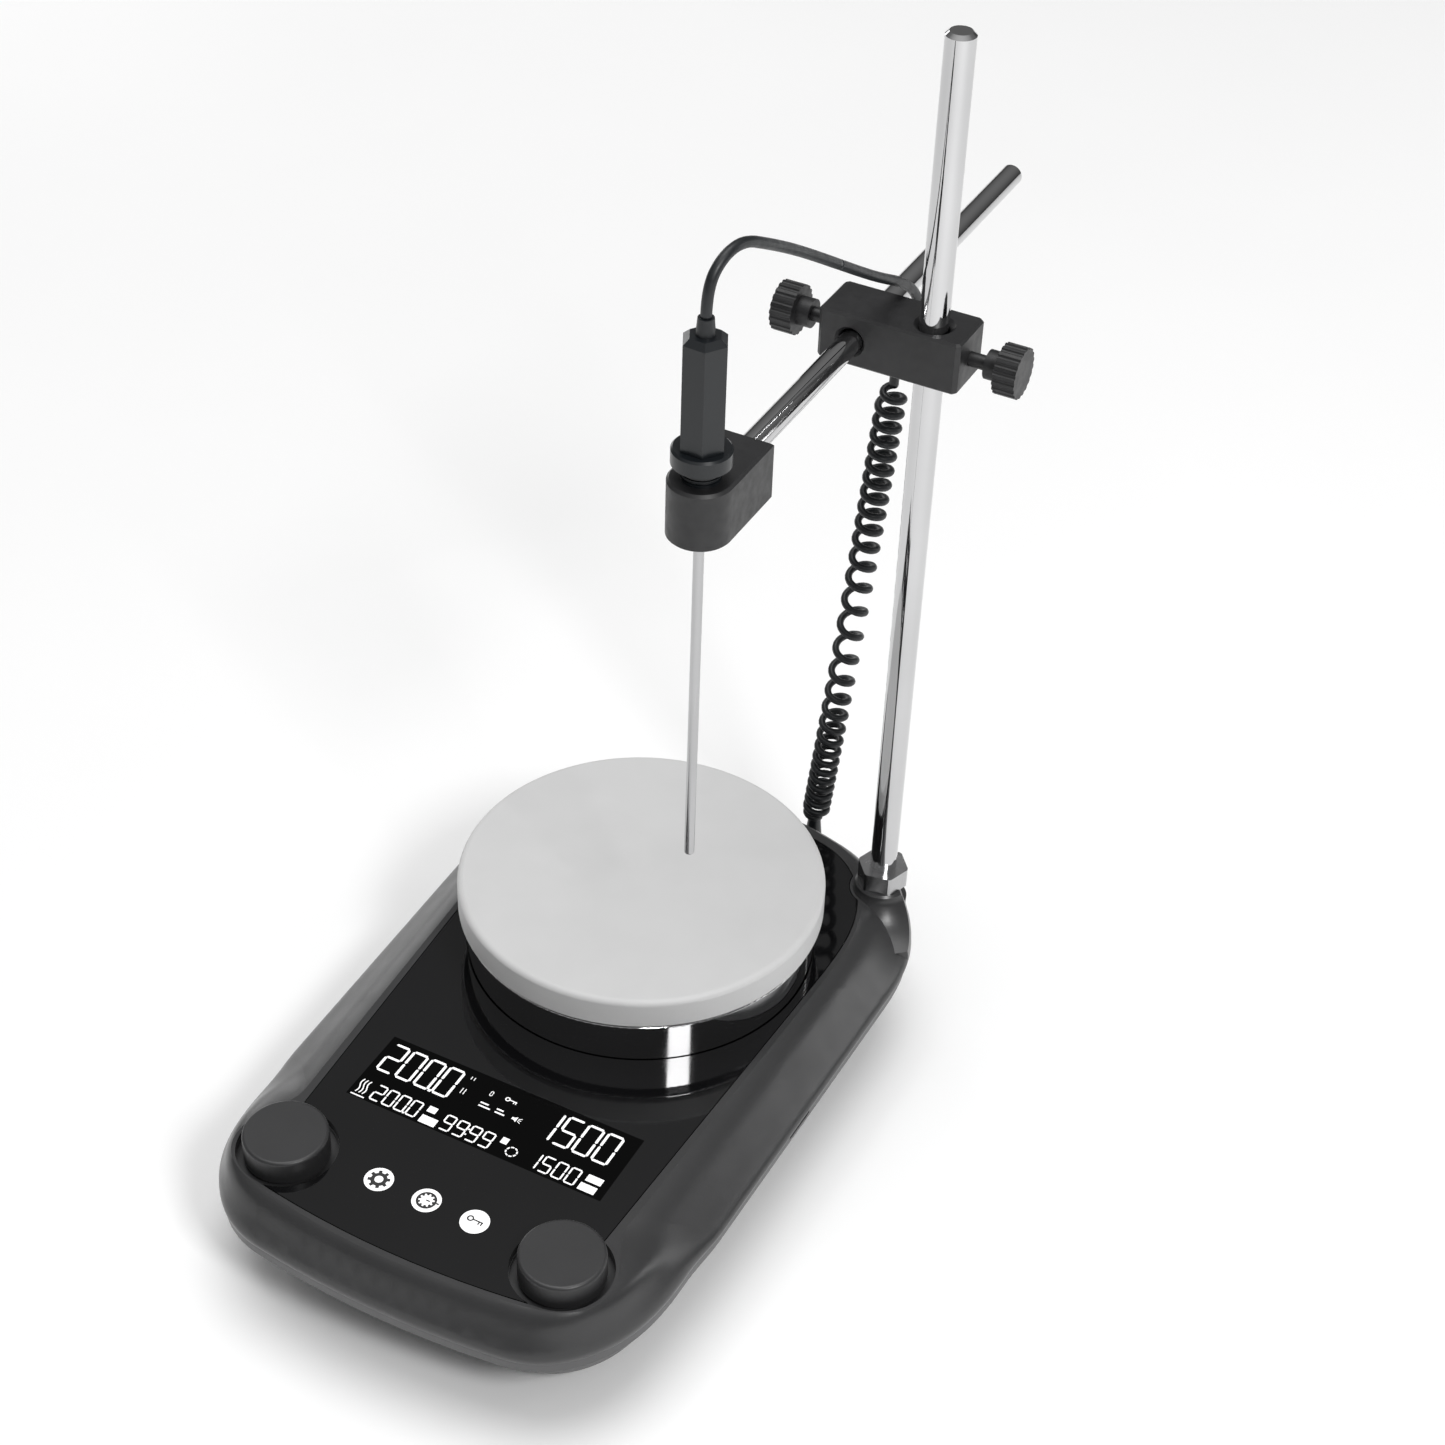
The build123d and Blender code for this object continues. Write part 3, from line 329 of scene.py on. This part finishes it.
def panel_glass(name, base, specular):
    """Black-backed glass with faint wiping marks."""
    material, shader = new_material(name, base, 0.05)
    vary_colour(material, shader, base, 0.2, 14)
    vary_roughness(material, shader, 0.035, 0.10, 22, (1, 3, 1))
    shader.inputs["IOR"].default_value = GLASS_IOR
    shader.inputs["Specular IOR Level"].default_value = specular
    return material


def ceramic_coat(name):
    """White fired coating on the plate: slight mottling and a very fine orange peel."""
    material, shader = new_material(name, CERAMIC_WHITE, 0.5)
    vary_colour(material, shader, CERAMIC_WHITE, 0.015, 60)
    vary_roughness(material, shader, 0.45, 0.58, 120)
    add_bump(material, shader, 900, 0.00005, 0.25)
    return material


def polished_metal(name, colour, roughness, stretch=(1, 1, 1), scale=200):
    """Plated or polished metal with hairline marks along its length or round its turn."""
    material, shader = new_material(name, colour, roughness, 1.0)
    vary_colour(material, shader, colour, 0.03, 30)
    vary_roughness(material, shader, roughness * 0.7, roughness * 1.5, scale, stretch)
    add_bump(material, shader, scale * 4, 0.00001, 0.12, stretch=stretch)
    return material


def coated_metal(name, colour, roughness):
    """Black coated metal with a satin sheen and a fine sandy skin."""
    material, shader = new_material(name, colour, roughness)
    vary_colour(material, shader, colour, 0.10, 120)
    vary_roughness(material, shader, roughness - 0.05, roughness + 0.08, 300)
    add_bump(material, shader, 3200, 0.00003, 0.35)
    shader.inputs["Specular IOR Level"].default_value = 0.6
    return material


def jacket(name, colour, roughness):
    """Cord jacket: smooth soft plastic with small bloom marks."""
    material, shader = new_material(name, colour, roughness)
    vary_colour(material, shader, colour, 0.15, 260)
    vary_roughness(material, shader, roughness - 0.06, roughness + 0.1, 400)
    add_bump(material, shader, 1500, 0.00004, 0.3)
    return material


def printed_white(name):
    """White symbols that glow a little: on the display the glow is its own light behind the glass; on the
    printed touch keys and hubs it is a painted glow.
    """
    material, shader = new_material(name, (0.9, 0.9, 0.9), 0.4)
    vary_colour(material, shader, (0.88, 0.88, 0.88), 0.05, 900)
    # The emission is the display's own light, and a painted glow on the printed keys and hubs.
    shader.inputs["Emission Color"].default_value = (1, 1, 1, 1)
    shader.inputs["Emission Strength"].default_value = 0.35
    return material


MATERIALS = {
    "shell_upper": moulded_plastic("shell_upper", (0.034, 0.034, 0.035), 0.30),
    "shell_lower": moulded_plastic("shell_lower", (0.085, 0.085, 0.087), 0.40),
    "panel_glass": panel_glass("panel_glass", (0.004, 0.004, 0.0044), 0.42),
    "display": panel_glass("display", (0.001, 0.001, 0.001), 0.08),
    "plate_ceramic": ceramic_coat("plate_ceramic"),
    "chrome": polished_metal("chrome", (0.58, 0.58, 0.585), 0.06, (1, 1, 0.05)),
    "steel": polished_metal("steel", (0.46, 0.46, 0.465), 0.2, (1, 1, 0.08)),
    "clamp_black": coated_metal("clamp_black", (0.011, 0.011, 0.012), 0.45),
    "knob_grey": moulded_plastic("knob_grey", (0.026, 0.026, 0.027), 0.40, 3400, 0.00003),
    "probe_black": moulded_plastic("probe_black", (0.008, 0.010, 0.012), 0.30, 3000, 0.00003),
    "cord_black": jacket("cord_black", (0.011, 0.013, 0.015), 0.40),
    "rubber": jacket("rubber", (0.02, 0.02, 0.02), 0.7),
    "plastic_black": moulded_plastic("plastic_black", (0.02, 0.02, 0.021), 0.45),
    "insulation": moulded_plastic("insulation", (0.60, 0.58, 0.52), 0.9, 700, 0.0003),
    "motor_metal": polished_metal("motor_metal", (0.5, 0.5, 0.52), 0.35),
    "windings": polished_metal("windings", (0.55, 0.26, 0.10), 0.35, (1, 1, 12), 300),
    "magnet": coated_metal("magnet", (0.12, 0.12, 0.125), 0.35),
    "brass": polished_metal("brass", (0.72, 0.52, 0.24), 0.25),
    "circuit_board": moulded_plastic("circuit_board", (0.01, 0.12, 0.04), 0.3, 500, 0.00005),
    "aluminium": polished_metal("aluminium", (0.7, 0.7, 0.71), 0.32),
}


def dress_cad_nodes():
    slots = {s["node"]: s["material_slot"] for s in frame["record"]["subparts"]}
    for name, piece in frame["nodes"].items():
        piece.data.materials.clear()
        piece.data.materials.append(MATERIALS[slots[name]])


dress_cad_nodes()
for cord_piece in cords.values():
    cord_piece.data.materials.append(MATERIALS["cord_black"])


# ---------------------------------------------------------------- printed symbols
PRINT_Z = GLASS_TOP / MM
PRINT_THICK = 0.06
DISC_SIDES = 48
KEY_RING_SIDES = 20
WINDOW_LOW, WINDOW_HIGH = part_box("display_window")
COLON_SHARES = (0.25, 0.62)
DIGIT_CORNER_GAP = 0.62
SEGMENTS = {"0": "abcdef", "1": "bc", "2": "abged", "5": "afgcd", "9": "abcdfg"}


class Printing:
    """Collects flat raised shapes, given in millimetres from the stirring axis, into one piece."""

    def __init__(self, height):
        self.bm = bmesh.new()
        self.height = height

    def outline(self, points):
        """One filled outline, counter-clockwise."""
        low = [self.bm.verts.new(at(x, y, self.height)) for x, y in points]
        high = [self.bm.verts.new(at(x, y, self.height + PRINT_THICK)) for x, y in points]
        self.bm.faces.new(high)
        self.bm.faces.new(list(reversed(low)))
        for k in range(len(points)):
            n = (k + 1) % len(points)
            self.bm.faces.new((low[k], low[n], high[n], high[k]))

    def disc(self, x, y, radius):
        self.outline([(x + radius * math.cos(2 * math.pi * k / DISC_SIDES),
                       y + radius * math.sin(2 * math.pi * k / DISC_SIDES)) for k in range(DISC_SIDES)])

    def ring(self, x, y, inner, outer, sides, start=0.0, end=360.0):
        """A ring or part of one, as short quads."""
        for k in range(sides):
            a = math.radians(start + (end - start) * k / sides)
            b = math.radians(start + (end - start) * (k + 1) / sides)
            self.outline([(x + inner * math.cos(a), y + inner * math.sin(a)),
                          (x + outer * math.cos(a), y + outer * math.sin(a)),
                          (x + outer * math.cos(b), y + outer * math.sin(b)),
                          (x + inner * math.cos(b), y + inner * math.sin(b))])

    def bar(self, x0, y0, x1, y1, width):
        """A straight stroke with pointed ends."""
        along = Vector((x1 - x0, y1 - y0)).normalized()
        side = Vector((-along.y, along.x)) * width / 2
        tip = along * width / 2
        a, b = Vector((x0, y0)), Vector((x1, y1))
        self.outline([tuple(p) for p in (a - tip, a - side, b - side, b + tip, b + side, a + side)])

    def box(self, x0, y0, x1, y1):
        self.outline([(x0, y0), (x1, y0), (x1, y1), (x0, y1)])

    def digit(self, text, x, y, width, height, stroke):
        """One seven-segment digit; x, y is its lower left corner."""
        gap = stroke * DIGIT_CORNER_GAP
        left, right = x, x + width
        low, middle, high = y, y + height / 2, y + height
        strokes = {
            "a": (left + gap, high, right - gap, high), "g": (left + gap, middle, right - gap, middle),
            "d": (left + gap, low, right - gap, low), "f": (left, middle + gap, left, high - gap),
            "b": (right, middle + gap, right, high - gap), "e": (left, low + gap, left, middle - gap),
            "c": (right, low + gap, right, middle - gap)}
        for segment in SEGMENTS[text]:
            self.bar(*strokes[segment], stroke)

    def number(self, text, x, y, width, height, step, stroke):
        """A row of digits with points or colons between them."""
        for mark in text:
            if mark == ".":
                point_x = x - step + width
                self.box(point_x + 0.5 * stroke, y - stroke / 2, point_x + 1.7 * stroke, y + stroke * 0.7)
            elif mark == ":":
                middle_x = x - (step - width) / 2
                for share in COLON_SHARES:
                    foot = y + height * share
                    self.box(middle_x - stroke / 2, foot, middle_x + stroke / 2, foot + stroke)
            else:
                self.digit(mark, x, y, width, height, stroke)
                x += step

    def piece(self, name, material):
        mesh = bpy.data.meshes.new(name)
        self.bm.to_mesh(mesh)
        self.bm.free()
        made = link(mesh, name)
        mesh.materials.append(material)
        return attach(made, "base")


GEAR_TOOTH = ((0.0, False), (0.22, False), (0.32, True), (0.68, True), (0.78, False))


def gear_outline(x, y, inner, outer, teeth):
    """A gear's outline; GEAR_TOOTH holds each corner's share of a tooth's width, and if it is at the tip."""
    points = []
    for k in range(teeth):
        start = 2 * math.pi * k / teeth
        width = 2 * math.pi / teeth
        for share, at_tip in GEAR_TOOTH:
            radius = outer if at_tip else inner
            angle = start + share * width
            points.append((x + radius * math.cos(angle), y + radius * math.sin(angle)))
    return points


def key(board, x, y, size):
    """A small key symbol lying along X."""
    board.ring(x, y, 0.55 * size, 0.95 * size, KEY_RING_SIDES)
    board.bar(x + 0.95 * size, y, x + 3.6 * size, y, 0.4 * size)
    board.bar(x + 2.7 * size, y - 0.2 * size, x + 2.7 * size, y - 0.9 * size, 0.36 * size)
    board.bar(x + 3.5 * size, y - 0.2 * size, x + 3.5 * size, y - 0.9 * size, 0.36 * size)


# Places in the window are shares of its length from the left, and of its depth from the rear edge.
# Each number: text, left, foot, then digit width and height, step and stroke in millimetres.
TEMPERATURE = ("200.0", 0.027, 0.52, 5.6, 13.2, 7.6, 0.95)
SPEED = ("1500", 0.655, 0.52, 5.7, 13.2, 7.7, 0.95)
SMALL_NUMBERS = (
    ("200.0", 0.082, 0.95, 3.5, 7.0, 4.9, 0.6),
    ("99:99", 0.362, 0.95, 3.6, 6.8, 5.2, 0.6),
    ("1500", 0.700, 0.95, 3.6, 7.0, 5.1, 0.6))
UNIT_STROKES = (0.34, 0.352)
UNIT_STROKE_WIDTH = 0.3
UNIT_HEIGHTS = ((0.30, 0.38), (0.10, 0.14))
FLAGS = (
    (0.285, 0.80, 0.318, 0.71),
    (0.283, 0.975, 0.346, 0.86),
    (0.577, 0.80, 0.602, 0.71),
    (0.912, 0.82, 0.970, 0.72),
    (0.905, 0.965, 0.968, 0.86))
STIR_RING = (0.634, 0.86, 1.75, 2.25)
STIR_RING_PARTS = 8
STIR_RING_SPAN = 33
STIR_RING_SIDES = 4
WAVES = 3
WAVE_LEFT = 0.022
WAVE_APART = 0.014
WAVE_STEPS = 8
WAVE_SWAY = 0.45
WAVE_STROKE = 0.42
WAVE_FOOT = 0.93
WAVE_DEPTH = 0.20
HEAT_BAR = (0.012, 0.985, 0.066, 0.968)
LOCK_KEY = (0.500, 0.20)
PRESET = ("0", 0.434, 0.25, 0.9, 2.0, 0.28)
CAPTIONS = ((0.425, 4.6), (0.490, 3.8))
CAPTION_ROWS = ((0.445, 0.425, 1), (0.395, 0.375, 0.7))
SPEAKER = (0.565, 0.42)


def make_heat_symbol(board, x_of, y_of):
    """Three wavy strokes over a bar."""
    for wave in range(WAVES):
        x = x_of(WAVE_LEFT + WAVE_APART * wave)
        for k in range(WAVE_STEPS):
            y0 = y_of(WAVE_FOOT - WAVE_DEPTH * k / WAVE_STEPS)
            y1 = y_of(WAVE_FOOT - WAVE_DEPTH * (k + 1) / WAVE_STEPS)
            board.bar(x + WAVE_SWAY * math.sin(2 * math.pi * k / WAVE_STEPS), y0,
                      x + WAVE_SWAY * math.sin(2 * math.pi * (k + 1) / WAVE_STEPS), y1, WAVE_STROKE)
    left, low, right, high = HEAT_BAR
    board.box(x_of(left), y_of(low), x_of(right), y_of(high))


def make_speaker(board, x, y):
    """A small loudspeaker with three sound strokes."""
    board.box(x - 0.9, y - 0.5, x, y + 0.5)
    board.outline([(x, y - 0.5), (x + 1.0, y - 1.2), (x + 1.0, y + 1.2), (x, y + 0.5)])
    for lean in (-0.7, 0, 0.7):
        board.bar(x + 1.6, y + lean * 0.7, x + 2.7, y + lean * 1.5, 0.25)


def make_display():
    """Seven-segment numbers and plain symbols on the display window."""
    left = WINDOW_LOW.x / MM - STIR.x / MM
    top = WINDOW_HIGH.y / MM - STIR.y / MM
    length = (WINDOW_HIGH.x - WINDOW_LOW.x) / MM
    depth = (WINDOW_HIGH.y - WINDOW_LOW.y) / MM
    lit = Printing(WINDOW_HIGH.z / MM)

    def x_of(share):
        return left + share * length

    def y_of(share):
        return top - share * depth

    def number(text, x_share, y_share, *sizes):
        lit.number(text, x_of(x_share), y_of(y_share), *sizes)

    number(*TEMPERATURE)
    for share in UNIT_STROKES:
        for low, high in UNIT_HEIGHTS:
            lit.bar(x_of(share), y_of(low), x_of(share), y_of(high), UNIT_STROKE_WIDTH)
    number(*SPEED)
    for small in SMALL_NUMBERS:
        number(*small)
    for x0, y0, x1, y1 in FLAGS:
        lit.box(x_of(x0), y_of(y0), x_of(x1), y_of(y1))
    ring_x, ring_y, inner, outer = STIR_RING
    step = 360 // STIR_RING_PARTS
    for part in range(STIR_RING_PARTS):
        start = part * step
        lit.ring(x_of(ring_x), y_of(ring_y), inner, outer, STIR_RING_SIDES, start, start + STIR_RING_SPAN)
    make_heat_symbol(lit, x_of, y_of)
    key(lit, x_of(LOCK_KEY[0]), y_of(LOCK_KEY[1]), 1.0)
    preset, preset_x, preset_y, *preset_sizes = PRESET
    lit.digit(preset, x_of(preset_x), y_of(preset_y), *preset_sizes)
    for share, width in CAPTIONS:
        for low, high, part in CAPTION_ROWS:
            lit.box(x_of(share), y_of(low), x_of(share) + width * part, y_of(high))
    make_speaker(lit, x_of(SPEAKER[0]), y_of(SPEAKER[1]))
    lit.piece("display_symbols", printed_white("display_white"))


TOUCH_Y = -148.3
TOUCH_STEP = 18.9
TOUCH_R = 5.1
GEAR_BODY, GEAR_TIP, GEAR_TEETH = 2.9, 3.9, 8
SMALL_GEAR_BODY, SMALL_GEAR_TIP, SMALL_GEAR_TEETH = 2.1, 2.8, 10
GEAR_HUB_R = 1.5
CLOCK_R = 3.6
CLOCK_HAND = 1.3
KEY_SIZE = 1.3


def make_touch_keys():
    """Three round white keys with dark symbols printed on the glass."""
    white = Printing(PRINT_Z)
    dark = Printing(PRINT_Z + PRINT_THICK)
    for x in (-TOUCH_STEP, 0, TOUCH_STEP):
        white.disc(x, TOUCH_Y, TOUCH_R)
    dark.outline(gear_outline(-TOUCH_STEP, TOUCH_Y, GEAR_BODY, GEAR_TIP, GEAR_TEETH))
    dark.disc(0, TOUCH_Y, CLOCK_R)
    dark.bar(3.7, TOUCH_Y + 0.4, 4.4, TOUCH_Y + 0.4, 0.6)
    key(dark, TOUCH_STEP - 2.0, TOUCH_Y + 0.6, KEY_SIZE)
    # The white key discs are print and carry a painted glow.
    white.piece("touch_keys", printed_white("touch_white_painted_glow"))
    dark.piece("touch_symbols", MATERIALS["plastic_black"])
    hub = Printing(PRINT_Z + 2 * PRINT_THICK)
    hub.disc(-TOUCH_STEP, TOUCH_Y, GEAR_HUB_R)
    hub.outline(gear_outline(0, TOUCH_Y, SMALL_GEAR_BODY, SMALL_GEAR_TIP, SMALL_GEAR_TEETH))
    clock = Printing(PRINT_Z + 3 * PRINT_THICK)
    clock.bar(0, TOUCH_Y, CLOCK_HAND, TOUCH_Y, 0.5)
    clock.piece("touch_clock", MATERIALS["plastic_black"])
    # The white hubs are print and carry a painted glow.
    hub.piece("touch_hubs", printed_white("hub_white_painted_glow"))


make_display()
make_touch_keys()


# ---------------------------------------------------------------- floor and light
FLOOR_REACH = 6
FLOOR_WHITE = (0.97, 0.97, 0.97)
WORLD_GREYS = ((0.0, 0.05), (1.0, 0.75), (0.62, 0.22))
SUN_STRENGTH = 1.3
SUN_SPREAD = 40
SUN_DIRECTION = (-0.05, 0.08, 1)
# Each light: name, place, the point that it faces, width, height, power
AREA_LIGHTS = (
    ("corner_light", (0.95, -0.70, 1.25), (0.08, -0.17, 0.05), 0.3, 0.3, 11),
    ("left_light", (-1.6, 1.1, 0.5), (0, 0, 0.1), 0.5, 1.2, 4),
    ("bar_light", (1.2, 1.1, 0.55), (0.04, 0.08, 0.29), 0.35, 0.5, 2))


def make_floor():
    mesh = bpy.data.meshes.new("floor")
    size = FLOOR_REACH
    corners = [(-size, -size, 0), (size, -size, 0), (size, size, 0), (-size, size, 0)]
    mesh.from_pydata(corners, [], [(0, 1, 2, 3)])
    floor = link(mesh, "floor")
    material, shader = new_material("floor", FLOOR_WHITE, 0.9)
    vary_colour(material, shader, FLOOR_WHITE, 0.01, 3)
    mesh.materials.append(material)


def area_light(name, place, target, width, height, power):
    data = bpy.data.lights.new(name, "AREA")
    data.shape = "RECTANGLE"
    data.size, data.size_y = width, height
    data.energy = power
    light = bpy.data.objects.new(name, data)
    bpy.context.scene.collection.objects.link(light)
    light.location = place
    light.rotation_euler = (Vector(target) - Vector(place)).to_track_quat("-Z", "Y").to_euler()


def make_world():
    """A studio that is dark at the horizon and grows paler towards the ceiling."""
    world = bpy.data.worlds.new("world")
    bpy.context.scene.world = world
    world.use_nodes = True
    tree = world.node_tree
    space = tree.nodes.new("ShaderNodeTexCoord")
    split = tree.nodes.new("ShaderNodeSeparateXYZ")
    greys = tree.nodes.new("ShaderNodeValToRGB")
    tree.links.new(space.outputs["Generated"], split.inputs["Vector"])
    tree.links.new(split.outputs["Z"], greys.inputs["Fac"])
    stops = greys.color_ramp.elements
    horizon, ceiling, between = WORLD_GREYS
    for stop, (position, grey) in ((stops[0], horizon), (stops[1], ceiling)):
        stop.position, stop.color = position, (grey, grey, grey, 1)
    middle = stops.new(between[0])
    middle.color = (between[1], between[1], between[1], 1)
    tree.links.new(greys.outputs["Color"], tree.nodes["Background"].inputs["Color"])
    tree.nodes["Background"].inputs["Strength"].default_value = 1.0


def make_light():
    make_world()
    data = bpy.data.lights.new("overhead", "SUN")
    data.energy = SUN_STRENGTH
    data.angle = math.radians(SUN_SPREAD)
    overhead = bpy.data.objects.new("overhead", data)
    bpy.context.scene.collection.objects.link(overhead)
    overhead.rotation_euler = Vector(SUN_DIRECTION).to_track_quat("Z", "Y").to_euler()
    for light in AREA_LIGHTS:
        area_light(*light)


make_floor()
make_light()
bpy.context.scene.view_settings.view_transform = "Standard"
